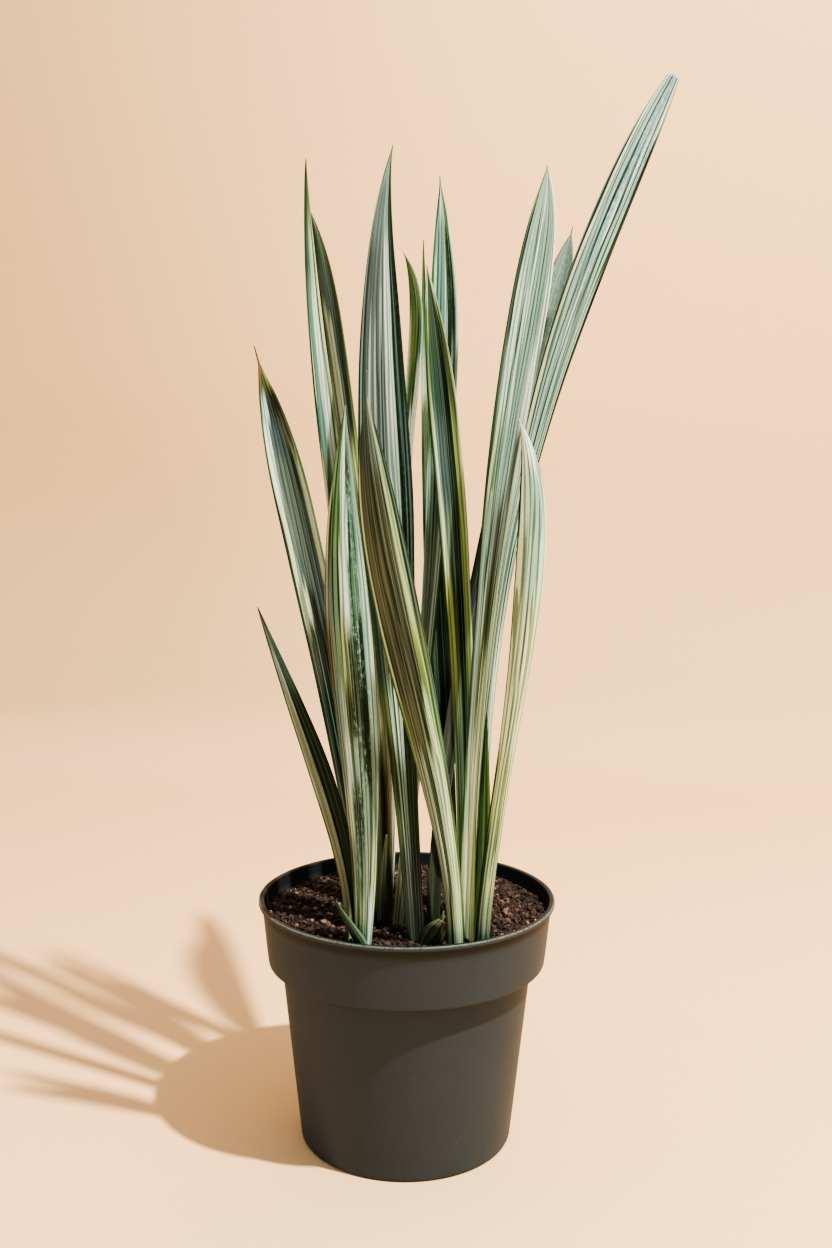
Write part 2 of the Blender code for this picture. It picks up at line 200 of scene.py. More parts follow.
# foot, tip: where the blade leaves the soil and where it ends
# low, high: how far the midrib stands aside of the straight line, a third and two thirds of the way up
# nod: how far the last stretch bends aside
# neck, width, end: widths at the soil, at the widest place and at the tip
# widest: height share of the widest place; swell, taper: how late the neck widens and the blade narrows
# awl: length of the thin point; root: depth in the soil
# facing: where the hollow side looks, in degrees, at the soil and at the tip; fold: how steep the flanks are
Leaf = namedtuple(
    "Leaf",
    "foot tip low high nod neck width end widest swell taper awl root facing fold",
    defaults=(0, 0, 0, 12, 20, 1.2, 0.7, 1, 2.0, 4, 24, (0, 0), (35, 22)),
)
LEAVES = {
    "leaf_tall_left": Leaf(
        (-28, -26), (-70, 0, 682), low=6, high=-2, width=17, widest=0.6, taper=2, awl=6, facing=(15, 40),
        fold=(35, 25)),
    "leaf_olive_left": Leaf(
        (-15, -22), (-73, 62, 661), low=10, high=6, nod=-8, neck=13, width=18, widest=0.8, taper=2.8,
        awl=5, facing=(200, 205), fold=(35, 25)),
    "leaf_front_left": Leaf(
        (-28, -82), (-38, -105, 514), low=2, high=-3, neck=14, width=32, widest=0.62, swell=1.2, taper=1.5,
        facing=(180, 185)),
    "leaf_centre_tall": Leaf(
        (6, -64), (-12, 5, 692), low=-6, high=-9, nod=6, neck=15, width=40, widest=0.58, swell=2.5,
        taper=1.7, awl=6, facing=(10, 10)),
    "leaf_khaki_front": Leaf(
        (33, -84), (-24, -135, 533), low=2, high=-7, neck=13, width=31, widest=0.62, swell=2.7, taper=2.7,
        awl=17, facing=(185, 150), fold=(30, 18)),
    "leaf_brown_tip": Leaf(
        (-24, -46), (-102, -30, 556), low=7, high=7, width=27, widest=0.68, taper=2.8, awl=12,
        fold=(35, 25)),
    "leaf_short_left": Leaf(
        (-35, -62), (-95, -80, 389), low=10, high=7, width=18, widest=0.5, taper=1.4, facing=(10, 10),
        fold=(40, 30)),
    "leaf_young_shoot": Leaf(
        (-26, -91), (-45, -91, 201), low=1, neck=9, width=9, end=1, widest=0.1, taper=1.3, awl=0,
        facing=(190, 190), fold=(35, 25)),
    "leaf_olive_centre": Leaf(
        (-12, 9), (-7, 20, 628), low=-6, high=-10, nod=-26, neck=11, width=14, widest=0.81, swell=1.1,
        taper=4.1, awl=6, facing=(-57, -40), fold=(30, 25)),
    "leaf_dark_spike": Leaf(
        (32, -6), (9, 55, 639), low=-2, high=-3, neck=11, width=19, widest=0.45, taper=1.2, awl=12,
        facing=(10, 10), fold=(35, 30)),
    "leaf_green_centre": Leaf(
        (40, -46), (11, -15, 611), low=7, high=7, width=22, widest=0.74, swell=2.2, taper=2.2,
        fold=(30, 22)),
    "leaf_back_centre": Leaf(
        (-6, -44), (20, 30, 678), low=8, high=10, neck=10, width=22, widest=0.76, swell=5, taper=2.2,
        awl=8, facing=(0, 10)),
    "leaf_tall_right": Leaf(
        (40, -69), (89, -25, 673), low=-12, high=-12, nod=-6, neck=11, width=26, end=1.4, widest=0.78,
        swell=5, taper=3.2, awl=3, facing=(0, 5), fold=(35, 15)),
    "leaf_grey_back": Leaf(
        (18, -44), (123, 120, 661), low=-15, high=-9, neck=11, width=27, widest=0.76, swell=3, taper=3.4,
        awl=7, facing=(0, -10), fold=(35, 20)),
    "leaf_long_right": Leaf(
        (52, -42), (178, 20, 742), low=-35, high=-36, neck=9, width=24, end=9, widest=0.8, swell=7,
        taper=2.8, awl=0, facing=(180, 185), fold=(35, 12)),
    "leaf_front_right": Leaf(
        (50, -81), (65, -125, 506), low=3, high=9, nod=-7, neck=11, width=20, widest=0.74, swell=7,
        taper=2.6, facing=(185, 190), fold=(30, 20)),
    "leaf_olive_right": Leaf(
        (46, -58), (53, -42, 316), low=2, high=1, neck=9, width=10, widest=0.4, taper=1.6, facing=(20, 20),
        fold=(30, 25)),
}
DRY_BITS = {
    "dry_sheath_front": Leaf(
        (14, -77), (24, -75, 182), neck=16, width=18, end=7, widest=0.4, taper=1.6, awl=0, root=6,
        facing=(185, 175), fold=(30, 20)),
    "dry_sheath_left": Leaf(
        (-8, -32), (-5, -30, 188), neck=8, width=9, end=2.6, widest=0.3, taper=1.6, awl=0, root=6,
        facing=(185, 175), fold=(30, 20)),
    "dry_strand": Leaf(
        (22, -62), (25, -60, 184), neck=3, width=4, end=1, widest=0.3, taper=1.4, awl=0, root=6,
        fold=(25, 20)),
}
# a small sheath in front of the olive leaf's foot
EXTRA_BITS = {
    "olive_sheath": Leaf(
        (-15, -37), (-14, -25, 226), neck=11, width=12.5, end=1.2, widest=0.3, taper=1.5, awl=0, root=6,
        facing=(185, 180), fold=(25, 20)),
}

# sections: at each height the stripes' colours with the places of their borders between them, all in
# hundredths of the blade; from one height to the next the stripes blend
# ribs, threads: strength of the fine dark and light lines; spots: colour of the mottling
# tint: factors for the whole blade's red, green and blue
Look = namedtuple("Look", "sections ribs threads tint spots", defaults=((1.0, 1.0, 1.0), SILVER))
# several blades carry painted shade or painted light: darker rows and flanks where they lie in shade, and
# tints that lighten or darken a whole blade against its light, as noted at each
LOOKS = {
    "leaf_tall_left": Look({
        50: (STRAW, 10, CREAM, 30, WHITE, 85, YELLOW),
        58: (TAN, 10, KHAKI, 30, LICHEN, 52, CREAM, 85, YELLOW),
        66: (DEEP, 10, TEAL, 42, DEEP, 48, SILVER, 55, WHITE, 86, GREEN, 92, CREAM),
        72: (DEEP, 7, CREAM, 14, OLIVE, 20, TEAL, 46, PALE, 54, WHITE, 86, GREEN, 92, CREAM),
        80: (OLIVE, 5, TEAL, 40, PALE, 54, WHITE, 82, OLIVE, 88, CREAM),
        88: (DEEP, 10, SPRUCE, 44, TEAL, 56, BUTTER, 84, GREEN, 94, CREAM),
        96: (DEEP, 50, GREEN, 85, TAN),
    }, 0.5, 0.25, (0.96, 0.96, 0.92)),
    # painted shade: the tint darkens this blade, which the key lamp strikes strongly at a grazing angle
    "leaf_olive_left": Look({
        15: (SAGE, 30, KHAKI, 60, TAN),
        28: (KHAKI, 30, CREAM),
        45: (YELLOW, 60, BUTTER),
        60: (BUTTER, 60, YELLOW),
        74: (MOSS, 10, TAN, 46, DUN, 56, NIGHT, 80, GREEN),
        82: (DUN, 14, TAN, 42, DUN, 50, NIGHT, 86, GREEN),
        89: (PALE, 10, DUN, 36, DEEP, 90, GREEN),
        95: (MOSS,),
    }, 0.7, 0.1, (0.8, 0.8, 0.76), BRIGHT),
    "leaf_front_left": Look({
        5: (OLIVE, 8, SAGE, 24, DEEP, 30, SAGE, 56, DEEP, 62, WHITE, 90, OLIVE),
        16: (DEEP, 10, LICHEN, 24, FLECK_TEAL, 46, LICHEN, 72, BUTTER, 92, OLIVE),
        27: (ASH, 12, CREAM, 24, FLECK_DEEP, 56, LICHEN, 88, PALE),
        37: (GREY, 20, WHITE, 33, FLECK_SILVER, 50, FLECK_DEEP, 80, LICHEN),
        # painted shadow: the olive stripe here is the cream stripe darkened where the khaki front leaf
        # shades it
        46: (GREY, 24, WHITE, 31, OLIVE, 45, FLECK_DEEP, 84, LICHEN),
        56: (KHAKI, 18, GREEN, 28, BUTTER, 46, FLECK_DEEP, 78, SILVER, 94, WHITE),
        68: (ASH, 14, DEEP, 22, GREEN, 36, WHITE, 54, FLECK_TEAL, 78, PALE),
        80: (CREAM, 10, OLIVE, 17, BRIGHT, 42, WHITE, 60, FLECK_TEAL, 85, SILVER),
        90: (GREEN, 8, PALE, 16, BRIGHT, 38, WHITE, 60, FLECK_DEEP, 85, SILVER),
        97: (DEEP, 16, BRIGHT, 40, WHITE, 55, GREEN, 65, SILVER),
    }, 0.8, 0.3, (1.08, 1.1, 1.08)),
    "leaf_centre_tall": Look({
        # painted shade: the dark umber and dun bands at the foot
        6: (UMBER, 20, DUN, 30, UMBER, 36, DUN, 50, UMBER),
        18: (OLIVE, 22, PALE, 30, MOSS, 36, PALE, 46, MOSS, 52, PALE, 62, MOSS),
        28: (OLIVE, 20, PALE, 30, MOSS, 36, WHITE, 46, MOSS, 52, WHITE, 62, FLECK_DARK),
        35: (DEEP, 18, KHAKI, 26, DEEP, 34, KHAKI, 44, DEEP, 50, IRON, 62, FLECK_DARK),
        55: (NIGHT, 14, IRON, 24, ASH, 29, IRON, 58, GREY, 63, PALE, 80, FLECK_DARK),
        70: (NIGHT, 10, IRON, 22, ASH, 26, IRON, 34, ASH, 39, IRON, 58, GREY, 63, WHITE, 79, FLECK_DARK),
        84: (UMBER, 12, IRON, 50, ASH, 56, IRON, 62, WHITE, 80, FLECK_DARK),
        92: (GREY, 20, SLATE, 56, SILVER, 80, DEEP),
        100: (DEEP, 10, SILVER, 80, DEEP),
    }, 0.65, 0.3, (1.02, 1.0, 1.0), SPRUCE),
    "leaf_khaki_front": Look({
        4: (OLIVE, 10, ASH, 28, DEEP, 38, SAGE, 50, CREAM, 82, GREEN),
        18: (DEEP, 5, ASH, 31, WHITE, 37, DEEP, 48, SAGE, 56, CREAM, 88, GREEN),
        31: (OLIVE, 5, ASH, 33, WHITE, 38, DEEP, 51, SAGE, 60, CREAM, 90, MOSS),
        # painted shade: from here up, the khaki and dun bands and the umber band at 52 stand for the face
        # turned from the key lamp
        42: (GREEN, 10, YELLOW, 17, KHAKI, 56, DEEP, 66, BUTTER, 86, GREEN),
        52: (GREEN, 7, BUTTER, 14, DUN, 64, UMBER, 74, YELLOW, 88, OLIVE),
        65: (OLIVE, 6, CREAM, 12, KHAKI, 50, DUN, 76, BUTTER, 88, DEEP),
        80: (OLIVE, 6, CREAM, 12, KHAKI, 30, DUN, 77, BUTTER, 89, DEEP),
        90: (MOSS, 22, IRON, 50, GREY, 82, CREAM, 90, DEEP),
        97: (LICHEN, 85, CREAM),
    }, 0.7, 0.25, (1.02, 1.11, 1.09)),
    "leaf_brown_tip": Look({
        # painted shadow: the near-black and umber lower rows, and the umber wedge at 56, are where the front
        # left leaf shades this blade
        36: (NIGHT, 5, DUN, 16, NIGHT),
        50: (UMBER, 5, KHAKI, 18, UMBER),
        56: (DEEP, 5, CREAM, 30, UMBER, 48, SLATE, 85, DEEP),
        62: (DEEP, 5, CREAM, 20, SLATE, 34, GREY, 56, SLATE, 84, CREAM, 95, GREEN),
        70: (DEEP, 6, CREAM, 18, GREY, 66, SPRUCE, 83, CREAM, 95, GREEN),
        79: (GREEN, 4, WHITE, 20, GREY, 68, DEEP, 84, CREAM, 94, GREEN),
        85: (GREEN, 5, WHITE, 22, SLATE, 74, KHAKI, 96, GREEN),
        90: (OLIVE, 8, ICE, 36, UMBER, 92, MOSS),
        94.5: (RUST, 10, OLIVE, 75, YELLOW),
        96.5: (RUST, 30, TAN, 60, RUST),
        100: (UMBER,),
    }, 0.65, 0.25),
    "leaf_short_left": Look({
        # painted shade: the near-black right flank faces away from the key lamp
        3: (STRAW, 38, NIGHT),
        30: (DUN, 3, STRAW, 36, NIGHT),
        70: (DUN, 3, STRAW, 36, NIGHT),
        82: (DUN, 5, ASH, 40, DEEP, 66, SPRUCE),
        92: (DEEP, 12, KHAKI, 50, DUN, 70, SPRUCE),
        97: (DUN, 60, DEEP),
    }, 0.4, 0.1, (1.05, 1.1, 1.12), GREEN),
    "leaf_young_shoot": Look({
        0: (DEEP, 50, MOSS, 84, LICHEN),
        90: (DEEP, 70, OLIVE),
    }, 0.4, 0.2, (1.0, 1.05, 1.1)),
    # painted light: the strong tint lightens this blade, which is turned from the key lamp
    "leaf_olive_centre": Look({
        74: (MOSS, 35, ASH),
        80: (TAN, 10, MOSS, 62, ASH),
        86: (TAN, 10, OLIVE, 50, DEEP, 90, OLIVE),
        95: (MOSS, 45, OLIVE),
    }, 0.6, 0.2, (3.4, 3.6, 3.9), BRIGHT),
    "leaf_dark_spike": Look({
        # painted shade: near black below about half the height
        54: (NIGHT,),
        66: (TEAL, 10, FLECK_PALE, 85, SILVER),
        76: (PALE, 10, FLECK_PALE, 85, WHITE),
        90: (GREEN, 60, OLIVE),
    }, 0.4, 0.15, (1.0, 1.0, 0.95)),
    "leaf_green_centre": Look({
        # painted shade: the olive and near-black lower rows lie in shade
        22: (MOSS, 40, DEEP, 50, NIGHT, 80, MOSS),
        50: (DEEP, 6, YELLOW, 30, OLIVE, 44, DEEP, 50, NIGHT, 76, YELLOW, 94, CREAM),
        57: (DEEP, 6, CREAM, 22, LICHEN, 48, DEEP, 75, YELLOW, 94, CREAM),
        71: (DEEP, 6, CREAM, 16, SLATE, 47, DEEP, 76, YELLOW, 94, CREAM),
        84: (DEEP, 6, YELLOW, 13, POOL, 44, NIGHT, 78, OLIVE, 94, CREAM),
        92: (GREEN, 10, BUTTER, 15, MOSS, 44, DEEP, 84, OLIVE, 95, CREAM),
        97: (WHITE, 16, MOSS, 80, CREAM),
    }, 0.55, 0.2, (1.05, 1.08, 1.0)),
    "leaf_back_centre": Look({
        14: (STRAW, 40, OLIVE, 60, STRAW),
        48: (PALE, 10, LICHEN, 40, ASH, 56, LICHEN, 62, WHITE, 88, GREEN),
        58: (SILVER, 30, TEAL, 66, WHITE, 76, TEAL),
        66: (GREEN, 7, FLECK_TEAL, 60, FLECK_DEEP, 80, PALE),
        84: (GREEN, 7, PALE, 22, TEAL, 58, WHITE, 67, FLECK_DEEP, 91, PALE),
        92: (GREEN, 8, TEAL, 60, BUTTER, 68, FLECK_DEEP, 90, PALE),
        97: (DEEP, 15, PALE, 75, GREEN),
    }, 0.7, 0.25, spots=GREEN),
    "leaf_tall_right": Look({
        7: (SAGE, 12, CREAM, 38, SAGE, 44, CREAM, 84, YELLOW),
        20: (GREEN, 6, SAGE, 34, LICHEN, 42, CREAM, 86, SAGE),
        # painted shadow: the dun band that climbs from the middle towards the right edge is the front right
        # leaf's shadow
        33: (DEEP, 6, LICHEN, 34, OLIVE, 46, DUN, 60, BUTTER, 84, SAGE),
        43: (DEEP, 6, LICHEN, 30, SPRUCE, 36, SAGE, 46, DUN, 70, OLIVE, 86, SAGE),
        52: (DEEP, 6, LICHEN, 30, SPRUCE, 36, LICHEN, 54, DUN, 78, LICHEN, 90, SAGE),
        62: (DEEP, 7, SAGE, 28, SPRUCE, 34, SILVER, 52, SPRUCE, 56, SILVER, 76, DUN, 90, PALE),
        72: (DEEP, 7, PALE, 30, SPRUCE, 36, PALE, 52, SPRUCE, 56, SILVER, 80, WHITE),
        82: (DEEP, 10, PALE, 34, SPRUCE, 38, PALE, 52, SPRUCE, 56, SILVER, 90, WHITE),
        90: (DEEP, 11, SILVER, 36, TEAL, 44, WHITE, 52, TEAL, 60, SILVER, 92, WHITE),
        97: (GREEN, 8, SILVER, 40, WHITE, 60, SILVER, 90, WHITE),
    }, 0.75, 0.25, (1.08, 1.04, 1.02)),
    "leaf_grey_back": Look({
        # painted shade: the dun and umber lower rows, where the long right leaf shades the blade
        15: (DUN,),
        50: (UMBER, 40, DUN, 75, UMBER),
        66: (OLIVE, 8, FLECK_GREY, 85, DEEP),
        85: (OLIVE, 5, FLECK_GREY, 92, CREAM),
        96: (OLIVE, 5, FLECK_GREY, 94, TAN),
    }, 0.3, 0.2, (0.82, 0.84, 0.84)),
    "leaf_long_right": Look({
        8: (GREEN, 25, BUTTER, 85, OLIVE),
        25: (OLIVE, 5, BUTTER, 50, TEAL, 56, PALE, 94, OLIVE),
        50: (DEEP, 6, CREAM, 18, PALE, 48, SPRUCE, 54, SILVER, 91, DEEP),
        66: (DEEP, 6, CREAM, 18, SILVER, 42, SPRUCE, 46, WHITE, 50, SPRUCE, 54, SILVER, 68,
             SPRUCE, 73, SILVER, 90, DEEP),
        82: (DEEP, 7, CREAM, 17, SILVER, 36, SPRUCE, 40, FLECK_BLUE, 56, WHITE, 60, SPRUCE, 64,
             SILVER, 90, DEEP),
        91: (DEEP, 7, CREAM, 18, SILVER, 36, FLECK_BLUE, 66, WHITE, 70, FLECK_BLUE, 88, DEEP),
        96: (GREEN, 5, CREAM, 16, SILVER, 34, FLECK_BLUE, 84, WHITE, 94, GREEN),
    }, 0.95, 0.35, (1.3, 1.2, 1.22), ICE),
    "leaf_front_right": Look({
        4: (DEEP, 18, LICHEN, 56, DEEP, 62, LICHEN, 90, OLIVE),
        18: (DEEP, 26, SAGE, 62, DEEP, 67, SAGE, 92, OLIVE),
        32: (MOSS, 12, BUTTER, 58, GREEN, 62, BUTTER, 68, GREEN, 73, BUTTER),
        46: (DEEP, 4, CREAM, 38, LICHEN, 44, CREAM, 52, LICHEN, 58, CREAM),
        60: (DEEP, 4, CREAM, 27, LICHEN, 33, CREAM, 44, LICHEN, 50, CREAM),
        75: (DEEP, 4, CREAM, 22, LICHEN, 32, PALE, 44, SILVER, 70, PALE, 90, CREAM),
        88: (DEEP, 6, WHITE, 26, PALE, 40, SILVER, 72, WHITE, 78, SILVER, 90, CREAM),
        95: (DEEP, 8, WHITE, 92, GREEN),
    }, 0.72, 0.25, (1.3, 1.34, 1.3), ICE),
    "leaf_olive_right": Look({
        50: (DEEP, 40, MOSS, 80, OLIVE),
        80: (NIGHT, 45, MOSS, 80, OLIVE),
        95: (DEEP,),
    }, 0.4, 0.2, (0.75, 1.0, 0.55)),
    "dry_sheath_front": Look({
        0: (BARK, 35, UMBER, 70, BARK),
        60: (DUN, 20, BARK, 40, DUN, 70, KHAKI),
        90: (KHAKI, 50, BARK),
    }, 0.6, 0.15, (1.25, 1.25, 1.1)),
    "dry_sheath_left": Look({
        0: (RUSSET,),
        80: (UMBER, 30, FOX),
    }, 0.6, 0.1),
    # painted light: the tint lightens this sheath, which stands in shade at the leaves' feet
    "olive_sheath": Look({
        0: (DUN, 45, BARK, 70, MAROON),
        50: (DUN, 60, UMBER, 86, CHESTNUT),
        95: (DUN, 60, OLIVE),
    }, 0.4, 0.1, (1.9, 1.9, 1.6)),
    "dry_strand": Look({
        0: (ASH, 50, STRAW),
    }, 0.5, 0.2),
}


class Value:
    """A number that changes over a surface: arithmetic on it adds Math nodes."""

    def __init__(self, finish, socket):
        self.finish = finish
        self.socket = socket

    def math(self, operation, *terms):
        inputs = dict(enumerate(terms))
        return self.finish.node("ShaderNodeMath", {"operation": operation}, inputs)["Value"]

    def __add__(self, other):
        return self.math("ADD", self, other)

    def __sub__(self, other):
        return self.math("SUBTRACT", self, other)

    def __mul__(self, other):
        return self.math("MULTIPLY", self, other)

    def __truediv__(self, other):
        return self.math("DIVIDE", self, other)

    def __rsub__(self, other):
        return self.math("SUBTRACT", other, self)

    __radd__ = __add__
    __rmul__ = __mul__

    def root(self):
        return self.math("SQRT", self)

    def sine(self):
        return self.math("SINE", self)

    def rise(self, low, high):
        """0 below low and 1 above high, with a smooth step between."""
        settings = {"interpolation_type": "SMOOTHSTEP"}
        inputs = {"Value": self, "From Min": low, "From Max": high}
        return self.finish.node("ShaderNodeMapRange", settings, inputs)["Result"]


class Finish:
    """One material's nodes."""

    def __init__(self, name):
        self.material = bpy.data.materials.new(name)
        self.material.use_nodes = True
        self.tree = self.material.node_tree
        self.shader = self.tree.nodes["Principled BSDF"]

    def plug(self, socket, value):
        if isinstance(value, Value):
            self.tree.links.new(value.socket, socket)
        else:
            socket.default_value = value

    def node(self, kind, settings, inputs):
        """Adds a node, sets it up and gives its outputs by name."""
        node = self.tree.nodes.new(kind)
        for name, value in settings.items():
            if name == "stops":
                set_stops(node.color_ramp, value)
            else:
                setattr(node, name, value)
        for name, value in inputs.items():
            socket = node.inputs[name] if isinstance(name, int) else enabled(node.inputs, name)
            self.plug(socket, value)
        return {socket.name: Value(self, socket) for socket in node.outputs if socket.enabled}

    def mix(self, share, first, second, blend="MIX"):
        settings = {"data_type": "RGBA", "blend_type": blend}
        inputs = {"Factor": share, "A": first, "B": second}
        return self.node("ShaderNodeMix", settings, inputs)["Result"]

    def noise(self, place, scale, detail=2.0, roughness=0.5):
        inputs = {"Vector": place, "Scale": scale, "Detail": detail, "Roughness": roughness}
        return self.node("ShaderNodeTexNoise", {}, inputs)["Fac"]

    def point(self, x, y, z):
        return self.node("ShaderNodeCombineXYZ", {}, {"X": x, "Y": y, "Z": z})["Vector"]

    def surface(self, colour, roughness, height, depth):
        """Joins the colour, the roughness and the relief, whose depth is in metres, to the shader."""
        self.plug(self.shader.inputs["Base Color"], colour)
        self.plug(self.shader.inputs["Roughness"], roughness)
        bump = self.node("ShaderNodeBump", {}, {"Height": height, "Distance": depth})
        self.plug(self.shader.inputs["Normal"], bump["Normal"])


def enabled(sockets, name):
    """Of the sockets of this name, the one that is in use."""
    return next(socket for socket in sockets if socket.name == name and socket.enabled)


def set_stops(ramp, stops):
    while len(ramp.elements) > 1:
        ramp.elements.remove(ramp.elements[-1])
    for index, (place, colour) in enumerate(stops):
        element = ramp.elements[0] if index == 0 else ramp.elements.new(place)
        element.position = place
        element.color = colour


def stripe_stops(stripes):
    """Ramp stops for stripes with narrow soft borders."""
    stops = []
    start = 0.0
    for colour, border in zip(stripes[::2], (*stripes[1::2], 100)):
        end = border / 100
        stops.append((min(start + STRIPE_BORDER, end - STRIPE_BORDER), colour))
        stops.append((max(end - STRIPE_BORDER, start + STRIPE_BORDER), colour))
        start = end
    return stops


def blade_places(finish):
    """Shares of the width and of the height, from the blade's own map."""
    place = finish.node("ShaderNodeUVMap", {"uv_map": "blade"}, {})["UV"]
    parts = finish.node("ShaderNodeSeparateXYZ", {}, {"Vector": place})
    return parts["X"], parts["Y"]


def striped(finish, sections, place, climb):
    """Colour and strength of mottling of the stripes, which change from section to section."""
    colour = spotting = None
    last = 0.0
    for height, stripes in sections.items():
        share = height / 100
        ramp = finish.node("ShaderNodeValToRGB", {"stops": stripe_stops(stripes)}, {"Fac": place})
        if colour is None:
            colour, spotting = ramp["Color"], ramp["Alpha"]
        else:
            border = SECTION_BORDER * (share - last)
            part = climb.rise(last + border, share - border)
            colour = finish.mix(part, colour, ramp["Color"])
            spotting = spotting + (ramp["Alpha"] - spotting) * part
        last = share
    return colour, spotting


def blade_finish(name, leaf, look, settings, seed):
    """Striped leaf skin with mottling, dark ribs, light threads and a fine grain."""
    finish = Finish(name)
    across, along = blade_places(finish)
    wide = across * leaf.width
    high = along * leaf_height(leaf)

    def streaks(kind, detail=2.0, roughness=0.5):
        """Noise drawn out along the blade."""
        place = finish.point(wide * kind[0], high * kind[1], seed + kind[2])
        return finish.noise(place, 1.0, detail, roughness)

    place = across + (streaks(DRIFT) - 0.5) * settings.stripe_drift
    climb = along + (streaks(FINGERS) - 0.5) * settings.stripe_fingers
    colour, spotting = striped(finish, look.sections, place, climb)
    specks = streaks(SPECKS, 3.0, 0.65).rise(0.44, 0.64) * streaks(PATCHES).rise(0.25, 0.60)
    colour = finish.mix(specks * spotting, colour, look.spots)
    turns = (wide / settings.rib_pitch + (streaks(SWAY) - 0.5) * RIB_SWAY) * (2.0 * pi)
    presence = 0.30 + streaks(PRESENCE).rise(0.30, 0.50) * 0.70
    ribs = turns.sine().rise(0.10, 0.55) * presence
    grooves = finish.mix(1.0, colour, RIB_TINT, "MULTIPLY")
    colour = finish.mix(ribs * look.ribs, colour, grooves)
    colour = finish.mix(streaks(THREADS, 1.0).rise(0.54, 0.62) * look.threads, colour, ICE)
    colour = finish.mix(1.0, colour, (*look.tint, 1.0), "MULTIPLY")
    fibre = streaks(FIBRES)
    grain = streaks(GRAIN, 1.0)
    tone = 1.0 + (fibre - 0.5) * settings.fibre_contrast + (streaks(CLOUDS) - 0.5) * settings.cloud_contrast
    tone = tone + (grain - 0.5) * settings.grain_contrast
    colour = finish.mix(1.0, colour, tone, "MULTIPLY")
    finish.shader.inputs["Specular IOR Level"].default_value = 0.3
    height = fibre * 0.5 + ribs * 0.3 + grain * 0.2
    finish.surface(colour, 0.40 + fibre * 0.14, height, settings.fibre_depth)
    return finish.material


def pot_finish(settings):
    """Dull moulded plastic with dust, fine scratches, a painted lip highlight and painted shade inside."""
    finish = Finish("olive_grey_plastic")
    place = finish.node("ShaderNodeTexCoord", {}, {})["Object"]
    cloud = finish.noise(place, 14.0, 3.0)
    dust = finish.noise(place, 520.0, 2.0, 0.6)
    clumps = finish.noise(place, 22.0, 2.0)
    drawn = {0: place, 1: (900.0, 900.0, 60.0)}
    upright = finish.node("ShaderNodeVectorMath", {"operation": "MULTIPLY"}, drawn)["Vector"]
    scratches = finish.noise(upright, 1.0, 2.0)
    specks = dust.rise(0.69, 0.73) * clumps.rise(0.45, 0.60)
    spread = finish.node("ShaderNodeSeparateXYZ", {}, {"Vector": place})
    height = spread["Z"]
    radius = (spread["X"] * spread["X"] + spread["Y"] * spread["Y"]).root()
    top = height.rise((POT_HEIGHT - 1.4) * MM, (POT_HEIGHT - 0.4) * MM)
    # painted highlight along the lip's outer edge, broken up by the scratch pattern
    lip_highlight = top * radius.rise((RIM_RADIUS - 1.2) * MM, (RIM_RADIUS - 0.7) * MM) * scratches.rise(0.25, 0.60)
    inner = 1.0 - radius.rise((RIM_RADIUS - 1.6) * MM, (RIM_RADIUS - 1.0) * MM)
    upper = height.rise(POT_HEIGHT * 0.93 * MM, POT_HEIGHT * 0.97 * MM)
    colour = finish.mix(cloud, (*settings.shade_colour, 1.0), (*settings.plastic_colour, 1.0))
    colour = finish.mix(specks * settings.dust * 0.6, colour, POT_DUST)
    # painted shade darkens the inside of the pot above the soil, under the lip
    colour = finish.mix(inner * upper * 0.75, colour, POT_INSIDE_SHADE)
    colour = finish.mix(lip_highlight * 0.60, colour, LIP_HIGHLIGHT)
    roughness = settings.roughness + (scratches - 0.5) * 0.10 + specks * 0.2
    finish.shader.inputs["Specular IOR Level"].default_value = 0.25
    finish.surface(colour, roughness, dust * 0.3 + scratches * 0.7, 0.00006)
    return finish.material


def soil_finish():
    """Dark damp peat; each crumb carries its own tone."""
    finish = Finish("potting_soil")
    place = finish.node("ShaderNodeTexCoord", {}, {})["Object"]
    tone = finish.node("ShaderNodeAttribute", {"attribute_name": "tone"}, {})["Fac"]
    grain = finish.noise(place, 900.0, 3.0, 0.7)
    colour = finish.node("ShaderNodeValToRGB", {"stops": SOIL_TONES}, {"Fac": tone})["Color"]
    shade = finish.mix(1.0, colour, 0.55 + grain * 0.9, "MULTIPLY")
    finish.surface(shade, 0.80 + grain * 0.2, grain, 0.0006)
    return finish.material


def stage_finish(settings):
    """Matt paper, with painted shade darkening the wall towards the left, and a darker band low on it."""
    finish = Finish("matt_backdrop_paper")
    place = finish.node("ShaderNodeTexCoord", {}, {})["Object"]
    cloud = finish.noise(place, 1.3, 2.0)
    grain = finish.noise(place, 900.0, 2.0)
    spread = finish.node("ShaderNodeSeparateXYZ", {}, {"Vector": place})
    low = spread["Z"].rise(0.02, 0.12) * (1.0 - spread["Z"].rise(0.3, 0.7))
    # painted shade: the wall darkens towards the left, away from the key lamp; the low band and the clouds
    # darken it as well
    shade_and_cloud = (1.0 - spread["X"].rise(-0.9, 0.2)) * spread["Z"].rise(0.0, 0.12) + low * 0.35 + cloud * 0.12
    pale = (*settings.floor_colour, 1.0)
    deeper = (*(share * c for share, c in zip((0.80, 0.79, 0.76), settings.floor_colour)), 1.0)
    finish.surface(finish.mix(shade_and_cloud, pale, deeper), 0.9, grain, 0.00005)
    return finish.material


def new_object(name, data):
    thing = bpy.data.objects.new(name, data)
    bpy.context.scene.collection.objects.link(thing)
    return thing


def new_mesh(name, shape):
    mesh = bpy.data.meshes.new(name)
    shape.to_mesh(mesh)
    shape.free()
    return mesh


def link_piece(name, mesh, material, nodes=()):
    """Puts a mesh in the scene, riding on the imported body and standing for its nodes."""
    mesh.materials.append(material)
    piece = new_object(name, mesh)
    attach(piece, BODY)
    if nodes:
        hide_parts(*nodes)
    return piece


def leaf_height(leaf):
    return leaf.tip[2] - SOIL_HEIGHT


